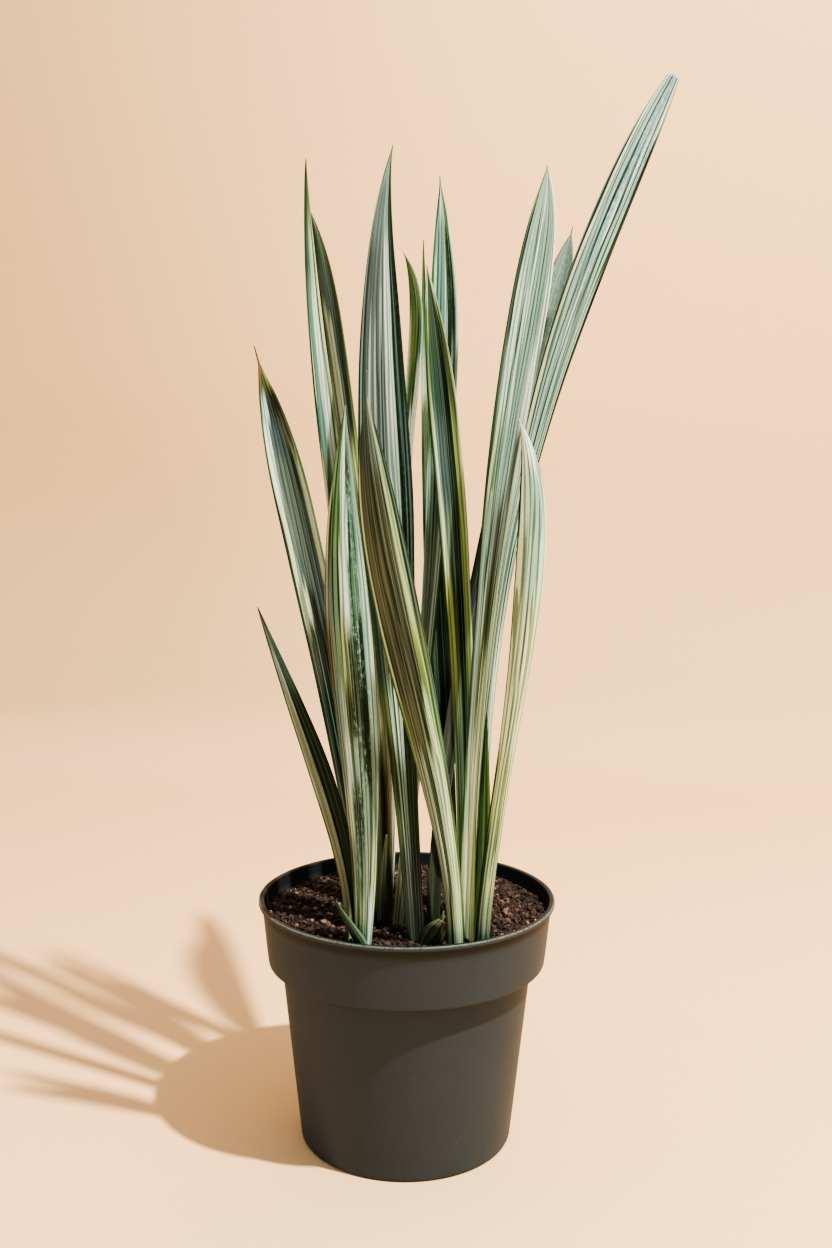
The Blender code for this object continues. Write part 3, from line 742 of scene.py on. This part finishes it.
def low_share(t):
    """Cubic that is 1 a third of the way up and 0 at the foot, at two thirds and at the tip."""
    return 13.5 * t * (2.0 / 3.0 - t) * (1.0 - t)


def high_share(t):
    """Cubic that is 1 two thirds of the way up and 0 at the foot, at one third and at the tip."""
    return 13.5 * t * (t - 1.0 / 3.0) * (1.0 - t)


def midrib(leaf, t):
    """The midrib's point at the share t of the leaf's height; below the soil it runs on straight."""
    if t < 0.0:
        step = 0.01
        return midrib(leaf, 0.0) + (midrib(leaf, step) - midrib(leaf, 0.0)) * (t / step)
    sideways = Vector((1.0, 0.0, 0.0))
    straight = Vector((*leaf.foot, SOIL_HEIGHT)).lerp(Vector(leaf.tip) - sideways * leaf.nod, t)
    aside = leaf.low * low_share(t) + leaf.high * high_share(t) + leaf.nod * t ** NOD_POWER
    return straight + sideways * aside


def blade_width(leaf, t):
    awl_start = 1.0 - leaf.awl / leaf_height(leaf)
    if t >= awl_start:
        share = (t - awl_start) / max(1.0 - awl_start, 0.001)
        return leaf.end * (1.0 - 0.7 * min(share, 1.0)) if leaf.awl else leaf.end
    if t > leaf.widest:
        share = (t - leaf.widest) / (awl_start - leaf.widest)
        return leaf.end + (leaf.width - leaf.end) * (1.0 - share ** leaf.taper)
    rise = sin(0.5 * pi * max(t, 0.0) / leaf.widest) ** leaf.swell
    return leaf.neck + (leaf.width - leaf.neck) * rise


def between(pair, t):
    """The angle, in radians, between the pair's values at the soil and at the tip."""
    share = min(max(t, 0.0), 1.0)
    return radians(pair[0] + (pair[1] - pair[0]) * share)


def blade_frame(leaf, t):
    """The midrib's point and the blade's side and face directions there."""
    step = 0.005
    along = (midrib(leaf, t + step) - midrib(leaf, t - step)).normalized()
    facing = between(leaf.facing, t)
    side = along.cross(Vector((sin(facing), -cos(facing), 0.0))).normalized()
    face = side.cross(along).normalized()
    return midrib(leaf, t), side, face


def blade_ring(leaf, t, columns, seed):
    """One closed cross-section: over the hollow side from edge to edge, and back underneath."""
    centre, side, face = blade_frame(leaf, t)
    fold = between(leaf.fold, t)
    half = 0.5 * blade_width(leaf, t)
    top, bottom = [], []
    for index in range(columns + 1):
        across = sin(0.5 * pi * (2.0 * index / columns - 1.0))
        wander = 1.0 + 0.03 * noise.noise((across * 1.5, t * 9.0, seed)) * abs(across)
        reach = half * cos(fold) * across * wander
        lift = half * sin(fold) * abs(across) ** CHANNEL_ROUNDNESS
        slope = CHANNEL_ROUNDNESS * sin(fold) * abs(across) ** (CHANNEL_ROUNDNESS - 1.0)
        slope = (slope if across > 0.0 else -slope) / cos(fold)
        out = (face - side * slope).normalized()
        belly = EDGE_SHARE + (1.0 - EDGE_SHARE) * (1.0 - across * across)
        rounding = (1.0 - abs(across) ** 30) ** 0.5
        thick = 0.5 * BLADE_THICKNESS * belly * (1.0 - TIP_THINNING * max(t, 0.0)) * rounding
        thick = min(thick, 0.35 * half + 0.15)
        middle = centre + side * reach + face * lift
        top.append((middle + out * thick, across))
        bottom.append((middle - out * thick, across))
    return top + bottom[-2:0:-1]


def blade_mesh(name, leaf, columns, row_pitch, seed):
    """A closed blade from its cross-sections, with a map of the shares of its width and height."""
    height = leaf_height(leaf)
    count = max(10, round(height / row_pitch))
    rows = [-leaf.root / height * (1.0 - i / 3) for i in range(3)]
    rows += [1.0 - (1.0 - i / count) ** ROW_CROWDING for i in range(count + 1)]
    mirrored = cos(between(leaf.facing, 0.5)) < 0.0
    corners, places = [], []
    for t in rows:
        for point, across in blade_ring(leaf, t, columns, seed):
            corners.append(point * MM)
            share = 0.5 * (1.0 - across) if mirrored else 0.5 * (1.0 + across)
            places.append((share, t))
    ring = 2 * columns
    faces = [tuple(range(ring)), tuple(reversed(range(len(corners) - ring, len(corners))))]
    for row in range(len(rows) - 1):
        first = row * ring
        for index in range(ring):
            beside = (index + 1) % ring
            faces.append((first + index, first + ring + index, first + ring + beside, first + beside))
    mesh = bpy.data.meshes.new(name)
    mesh.from_pydata(corners, [], faces)
    layer = mesh.uv_layers.new(name="blade")
    for loop in mesh.loops:
        layer.data[loop.index].uv = places[loop.vertex_index]
    mesh.shade_smooth()
    return mesh


def turned_mesh(name, profile, steps):
    """A turned solid from radius and height pairs, which run down the outer side, in millimetres."""
    shape = bmesh.new()
    line = [shape.verts.new((radius * MM, 0.0, height * MM)) for radius, height in profile]
    edges = [shape.edges.new(pair) for pair in zip(line, line[1:])]
    bmesh.ops.spin(shape, geom=line + edges, axis=(0, 0, 1), cent=(0, 0, 0), steps=steps, angle=2.0 * pi,
                   use_merge=True)
    bmesh.ops.remove_doubles(shape, verts=shape.verts[:], dist=0.00001)
    bmesh.ops.recalc_face_normals(shape, faces=shape.faces[:])
    return new_mesh(name, shape)


def arc_points(centre, radius, first, last, steps):
    """Points of a round corner; the angles are in degrees from the outward direction."""
    angles = [radians(first + (last - first) * i / steps) for i in range(steps + 1)]
    return [(centre[0] + radius * cos(a), centre[1] + radius * sin(a)) for a in angles]


def body_radius(height):
    share = (height - BASE_FILLET) / (COLLAR_FOOT_HEIGHT - BASE_FILLET)
    return BASE_RADIUS + (BODY_TOP_RADIUS - BASE_RADIUS) * share


def collar_radius(height):
    collar_top = POT_HEIGHT - LIP_HEIGHT
    share = (height - COLLAR_FOOT_HEIGHT) / (collar_top - COLLAR_FOOT_HEIGHT)
    return COLLAR_FOOT_RADIUS + (COLLAR_TOP_RADIUS - COLLAR_FOOT_RADIUS) * share


def inner_profile(gap):
    """The cavity's wall from the collar's ledge down to the floor, moved inwards by the gap."""
    inset = WALL + gap
    ledge = COLLAR_FOOT_HEIGHT + inset
    floor = FLOOR + gap
    return [
        (collar_radius(ledge) - inset, ledge),
        (BODY_TOP_RADIUS - inset, ledge),
        (body_radius(floor) - inset, floor + BASE_FILLET),
        (body_radius(floor) - inset - BASE_FILLET, floor),
        (0.0, floor),
    ]


def pot_profile():
    """From the axis under the cavity's floor, up the inside, over the lip and down the outer side."""
    lip_foot = POT_HEIGHT - LIP_HEIGHT
    inner_lip = collar_radius(POT_HEIGHT) - WALL
    inside = list(reversed(inner_profile(0.0)))
    lip = arc_points((inner_lip + LIP_ROUND, POT_HEIGHT - LIP_ROUND), LIP_ROUND, 180, 90, 5)
    lip += arc_points((RIM_RADIUS - LIP_ROUND, POT_HEIGHT - LIP_ROUND), LIP_ROUND, 90, 0, 6)
    lip += arc_points((RIM_RADIUS - LIP_ROUND, lip_foot + LIP_ROUND), LIP_ROUND, 0, -90, 4)
    collar_foot = (COLLAR_FOOT_RADIUS - COLLAR_ROUND, COLLAR_FOOT_HEIGHT + COLLAR_ROUND)
    collar = [(COLLAR_TOP_RADIUS + 0.5, lip_foot), (COLLAR_TOP_RADIUS, lip_foot - 0.6)]
    collar += [(collar_radius(h), h) for h in (160.0, 148.0, 140.0)]
    collar += arc_points(collar_foot, COLLAR_ROUND, 0, -90, 6)
    body = [(BODY_TOP_RADIUS + 1.0, COLLAR_FOOT_HEIGHT), (BODY_TOP_RADIUS, COLLAR_FOOT_HEIGHT - 0.7)]
    body += [(body_radius(h), h) for h in (110.0, 80.0, 50.0, 20.0, 6.0)]
    body += arc_points((BASE_RADIUS - BASE_FILLET, BASE_FILLET), BASE_FILLET, 0, -90, 6)
    return inside + lip + collar + body + [(0.0, 0.0)]


def pierce(pot, settings):
    """Cuts the drain holes through the pot's floor."""
    shape = bmesh.new()
    for index in range(DRAIN_HOLES):
        angle = 2.0 * pi * (index + 0.5) / DRAIN_HOLES
        place = Matrix.Translation(Vector((cos(angle), sin(angle), 0.0)) * DRAIN_RING_RADIUS * MM)
        bmesh.ops.create_cone(shape, cap_ends=True, segments=settings.hole_sides, depth=4.0 * FLOOR * MM,
                              radius1=DRAIN_HOLE_RADIUS * MM, radius2=DRAIN_HOLE_RADIUS * MM, matrix=place)
    cutter = new_object("drain_cutter", new_mesh("drain_cutter", shape))
    boolean = pot.modifiers.new("drain", "BOOLEAN")
    boolean.operation = "DIFFERENCE"
    boolean.solver = "EXACT"
    boolean.object = cutter
    graph = bpy.context.evaluated_depsgraph_get()
    baked = bpy.data.meshes.new_from_object(pot.evaluated_get(graph))
    pot.modifiers.clear()
    pot.data = baked
    bpy.data.objects.remove(cutter)


def soil_rise(x, y):
    """Height of the soil's lumpy surface over its level, in millimetres."""
    place = Vector((x, y, 0.0))
    swell = noise.noise(place * 0.035) * 2.6
    lumps = noise.fractal(place * 0.16, 0.8, 2.0, 4) * 1.6
    reach = (x * x + y * y) / (COLLAR_TOP_RADIUS * COLLAR_TOP_RADIUS)
    return swell + lumps + SOIL_DOME * (1.0 - reach)


def soil_mesh(settings):
    edge = collar_radius(SOIL_HEIGHT) - WALL - CLEARANCE
    rings = [(edge * i / settings.rings, SOIL_HEIGHT) for i in range(settings.rings + 1)]
    mesh = turned_mesh("soil", rings + inner_profile(CLEARANCE), settings.turn_steps)
    tones = mesh.attributes.new("tone", "FLOAT", "POINT")
    for vertex in mesh.vertices:
        x, y, z = vertex.co / MM
        if z > SOIL_HEIGHT - CLEARANCE:
            vertex.co.z = (z + soil_rise(x, y)) * MM
        tones.data[vertex.index].value = 0.18 + 0.5 * noise.noise((x * 0.3, y * 0.3, 5.0))
    mesh.shade_smooth()
    return mesh


def crumb_mesh(settings):
    """Loose crumbs, a few pale grains and larger clods, strewn over the soil as one mesh."""
    rng = np.random.default_rng(settings.seed)
    ball = bmesh.new()
    bmesh.ops.create_icosphere(ball, subdivisions=1, radius=1.0)
    base = np.array([v.co for v in ball.verts])
    tris = np.array([[v.index for v in f.verts] for f in ball.faces])
    ball.free()
    corners, faces, tones = [], [], []
    reach = collar_radius(SOIL_HEIGHT) - WALL - 2.5
    for index in range(settings.crumbs):
        angle = rng.uniform(0.0, 2.0 * pi)
        radius = reach * rng.uniform(0.0, 1.0) ** 0.5
        x, y = radius * cos(angle), radius * sin(angle)
        size = settings.crumb_size / MM * (0.30 + 0.9 * rng.uniform() ** 3.0)
        tone = rng.uniform(0.05, 0.86) ** 1.2
        pick = rng.uniform()
        if pick > 0.988:
            tone, size = 1.0, size * 0.6
        elif pick > 0.965:
            tone = 0.94
        if index < len(CLODS):
            x, y, size, tone = CLODS[index]
        turn = np.array(Euler(rng.uniform(0.0, 2.0 * pi, 3)).to_matrix())
        squash = rng.uniform(0.60, 1.15, 3)
        rough = 1.0 + 0.20 * rng.standard_normal(len(base))
        shape = (base * rough[:, None] * squash * size) @ turn.T
        low = SOIL_HEIGHT + soil_rise(x, y) + 0.30 * size
        corners.append((shape + (x, y, low)) * MM)
        faces.append(tris + index * len(base))
        tones.append(np.full(len(base), tone))
    mesh = bpy.data.meshes.new("soil_crumbs")
    mesh.from_pydata(np.concatenate(corners).tolist(), [], np.concatenate(faces).tolist())
    layer = mesh.attributes.new("tone", "FLOAT", "POINT")
    layer.data.foreach_set("value", np.concatenate(tones))
    return mesh


class PotSettings(bpy.types.PropertyGroup):
    plastic_colour: bpy.props.FloatVectorProperty(
        name="Plastic", description="Colour of the pot", subtype="COLOR", default=(0.060, 0.077, 0.092))
    shade_colour: bpy.props.FloatVectorProperty(
        name="Plastic, darker", description="Colour of its darker clouds", subtype="COLOR",
        default=(0.050, 0.065, 0.077))
    roughness: bpy.props.FloatProperty(
        name="Roughness", description="How dull the plastic is", default=0.50, min=0.0, max=1.0)
    dust: bpy.props.FloatProperty(
        name="Dust", description="How strongly dust and scuffs show", default=0.6, min=0.0, max=1.0)
    turn_steps: bpy.props.IntProperty(
        name="Turn steps", description="Faces round the pot", default=160, min=24)
    hole_sides: bpy.props.IntProperty(
        name="Hole sides", description="Faces round each drain hole", default=24, min=8)


class SoilSettings(bpy.types.PropertyGroup):
    rings: bpy.props.IntProperty(name="Rings", description="Rings of the soil's surface", default=60, min=8)
    turn_steps: bpy.props.IntProperty(
        name="Turn steps", description="Faces round the soil", default=180, min=24)
    crumbs: bpy.props.IntProperty(name="Crumbs", description="Number of loose crumbs", default=9000, min=16)
    crumb_size: bpy.props.FloatProperty(
        name="Crumb size", description="Radius of a large crumb", default=0.0019, min=0.0, unit="LENGTH")
    seed: bpy.props.IntProperty(name="Seed", description="Another seed strews them anew", default=11)


class LeafSettings(bpy.types.PropertyGroup):
    columns: bpy.props.IntProperty(name="Columns", description="Faces across a blade", default=18, min=4)
    row_pitch: bpy.props.FloatProperty(
        name="Row pitch", description="Length of a blade's faces", default=0.007, min=0.001, unit="LENGTH")
    stripe_drift: bpy.props.FloatProperty(
        name="Stripe drift", description="How far stripes wander, as a share of the width", default=0.035)
    stripe_fingers: bpy.props.FloatProperty(
        name="Stripe fingers", description="How unevenly stripes end, as a share of the height",
        default=0.12)
    rib_pitch: bpy.props.FloatProperty(
        name="Rib pitch", description="Distance between the dark lines, in millimetres", default=3.3,
        min=0.5)
    fibre_contrast: bpy.props.FloatProperty(
        name="Fibre contrast", description="How strongly single fibres show", default=0.45)
    cloud_contrast: bpy.props.FloatProperty(
        name="Cloud contrast", description="How strongly the tone wanders over a blade", default=0.35)
    grain_contrast: bpy.props.FloatProperty(
        name="Grain contrast", description="How strongly the fine grain shows", default=0.45)
    fibre_depth: bpy.props.FloatProperty(
        name="Fibre depth", description="Height of the fine ribs", default=0.00012, unit="LENGTH")


class StageSettings(bpy.types.PropertyGroup):
    floor_colour: bpy.props.FloatVectorProperty(
        name="Floor", description="Colour of floor and backdrop", subtype="COLOR",
        default=(0.89, 0.620, 0.372))
    key_power: bpy.props.FloatProperty(
        name="Key light", description="Power of the light from the right front, in watts", default=106.0)
    key_size: bpy.props.FloatProperty(
        name="Key size", description="Width of that light", default=0.09, unit="LENGTH")
    fill_colour: bpy.props.FloatVectorProperty(
        name="Fill", description="Colour of the light from all round", subtype="COLOR",
        default=(0.92, 0.955, 0.93))
    fill_strength: bpy.props.FloatProperty(
        name="Fill strength", description="Strength of the light from all round", default=0.62)


class PlantSettings(bpy.types.PropertyGroup):
    pot: bpy.props.PointerProperty(type=PotSettings)
    soil: bpy.props.PointerProperty(type=SoilSettings)
    leaf: bpy.props.PointerProperty(type=LeafSettings)
    stage: bpy.props.PointerProperty(type=StageSettings)


class SNAKEPLANT_OT_pot(bpy.types.Operator):
    """Build the nursery pot with its lip, collar and drain holes"""

    bl_idname = "snakeplant.pot"
    bl_label = "Pot"

    def execute(self, context):
        settings = context.scene.snake_plant.pot
        mesh = turned_mesh("nursery_pot", pot_profile(), settings.turn_steps)
        pot = link_piece("nursery_pot", mesh, pot_finish(settings), ["pot"])
        pierce(pot, settings)
        smooth_by_angle(pot.data, 35.0)
        return {"FINISHED"}


class SNAKEPLANT_OT_soil(bpy.types.Operator):
    """Fill the pot with soil and strew crumbs over it"""

    bl_idname = "snakeplant.soil"
    bl_label = "Soil"

    def execute(self, context):
        settings = context.scene.snake_plant.soil
        finish = soil_finish()
        link_piece("potting_soil", soil_mesh(settings), finish, ["soil"])
        link_piece("soil_crumbs", crumb_mesh(settings), finish)
        return {"FINISHED"}


class SNAKEPLANT_OT_leaves(bpy.types.Operator):
    """Grow the seventeen striped leaves"""

    bl_idname = "snakeplant.leaves"
    bl_label = "Leaves"

    def execute(self, context):
        grow(LEAVES, context.scene.snake_plant.leaf, "striped_")
        return {"FINISHED"}


class SNAKEPLANT_OT_dry_bits(bpy.types.Operator):
    """Add the dry sheaths and the dry strand at the leaves' feet"""

    bl_idname = "snakeplant.dry_bits"
    bl_label = "Dry bits"

    def execute(self, context):
        grow(DRY_BITS, context.scene.snake_plant.leaf, "papery_")
        grow(EXTRA_BITS, context.scene.snake_plant.leaf, "papery_", "dry_sheath_left")
        return {"FINISHED"}


class SNAKEPLANT_OT_stage(bpy.types.Operator):
    """Set up the pale floor and backdrop, the lights and the camera"""

    bl_idname = "snakeplant.stage"
    bl_label = "Stage"

    def execute(self, context):
        settings = context.scene.snake_plant.stage
        make_backdrop(settings)
        make_lights(settings)
        make_camera()
        context.scene.view_settings.view_transform = "AgX"
        context.scene.view_settings.look = "AgX - Very High Contrast"
        return {"FINISHED"}


class SNAKEPLANT_PT_panel(bpy.types.Panel):
    bl_label = "Snake plant"
    bl_idname = "SNAKEPLANT_PT_panel"
    bl_space_type = "VIEW_3D"
    bl_region_type = "UI"
    bl_category = "Snake plant"

    def draw(self, context):
        settings = context.scene.snake_plant
        groups = (
            (settings.pot, ("snakeplant.pot",)),
            (settings.soil, ("snakeplant.soil",)),
            (settings.leaf, ("snakeplant.leaves", "snakeplant.dry_bits")),
            (settings.stage, ("snakeplant.stage",)),
        )
        for group, operators in groups:
            box = self.layout.box()
            for name in group.bl_rna.properties.keys():
                if name not in ("rna_type", "name"):
                    box.prop(group, name)
            for operator in operators:
                box.operator(operator)


def smooth_by_angle(mesh, degrees):
    """Smooth shading with the sharp corners kept."""
    mesh.shade_smooth()
    mesh.set_sharp_from_angle(angle=radians(degrees))


def grow(leaves, settings, prefix, slot=None):
    """Builds each blade; with a slot given, the blades are extra and stand for no node."""
    for index, (name, leaf) in enumerate(leaves.items()):
        seed = 3.7 * index + 1.0
        mesh = blade_mesh(name + "_blade", leaf, settings.columns, settings.row_pitch / MM, seed)
        finish = blade_finish(name + "_skin", leaf, LOOKS[name], settings, seed)
        link_piece(prefix + name, mesh, finish, [] if slot else [name])


def make_backdrop(settings):
    """A floor that sweeps up into a wall behind."""
    turns = [0.5 * pi * i / SWEEP_STEPS for i in range(SWEEP_STEPS + 1)]
    line = [(SWEEP_NEAR, 0.0), (0.0, 0.0), (SWEEP_FAR - 0.2, 0.0)]
    line += [(SWEEP_FAR + SWEEP_BEND * sin(a), SWEEP_BEND * (1.0 - cos(a))) for a in turns]
    line.append((SWEEP_FAR + SWEEP_BEND, SWEEP_TOP))
    corners = [(x, y, z) for y, z in line for x in (-SWEEP_SIDE, SWEEP_SIDE)]
    faces = [(2 * i, 2 * i + 1, 2 * i + 3, 2 * i + 2) for i in range(len(line) - 1)]
    mesh = bpy.data.meshes.new("backdrop")
    mesh.from_pydata(corners, [], faces)
    mesh.materials.append(stage_finish(settings))
    mesh.shade_smooth()
    new_object("backdrop", mesh)


def make_lights(settings):
    """A bright lamp from the right front and above, and an even fill."""
    light = bpy.data.lights.new("key_lamp", "AREA")
    light.shape = "DISK"
    light.size = settings.key_size
    light.energy = settings.key_power
    light.color = KEY_COLOUR
    lamp = new_object("key_lamp", light)
    lamp.location = KEY_PLACE
    lamp.rotation_euler = (Vector(KEY_TARGET) - Vector(KEY_PLACE)).to_track_quat("-Z", "Y").to_euler()
    world = bpy.data.worlds.new("fill_light")
    world.use_nodes = True
    background = world.node_tree.nodes["Background"]
    background.inputs["Color"].default_value = (*settings.fill_colour, 1.0)
    background.inputs["Strength"].default_value = settings.fill_strength
    bpy.context.scene.world = world


def make_camera():
    data = bpy.data.cameras.new("camera")
    data.sensor_width = SENSOR
    data.lens = FOCAL_PIXELS * SENSOR / PICTURE_HEIGHT
    camera = new_object("camera", data)
    level = Matrix.Rotation(0.5 * pi - CAMERA_DIP, 4, "X")
    camera.matrix_world = Matrix.Translation(CAMERA_PLACE) @ level @ Matrix.Rotation(CAMERA_ROLL, 4, "Z")
    bpy.context.scene.camera = camera


CLASSES = (
    PotSettings, SoilSettings, LeafSettings, StageSettings, PlantSettings, SNAKEPLANT_OT_pot,
    SNAKEPLANT_OT_soil, SNAKEPLANT_OT_leaves, SNAKEPLANT_OT_dry_bits, SNAKEPLANT_OT_stage,
    SNAKEPLANT_PT_panel,
)


def register():
    for cls in CLASSES:
        bpy.utils.register_class(cls)
    bpy.types.Scene.snake_plant = bpy.props.PointerProperty(type=PlantSettings)


def unregister():
    del bpy.types.Scene.snake_plant
    for cls in reversed(CLASSES):
        bpy.utils.unregister_class(cls)


def main():
    register()
    bpy.ops.snakeplant.pot()
    bpy.ops.snakeplant.soil()
    bpy.ops.snakeplant.leaves()
    bpy.ops.snakeplant.dry_bits()
    bpy.ops.snakeplant.stage()


if __name__ == "__main__":
    main()
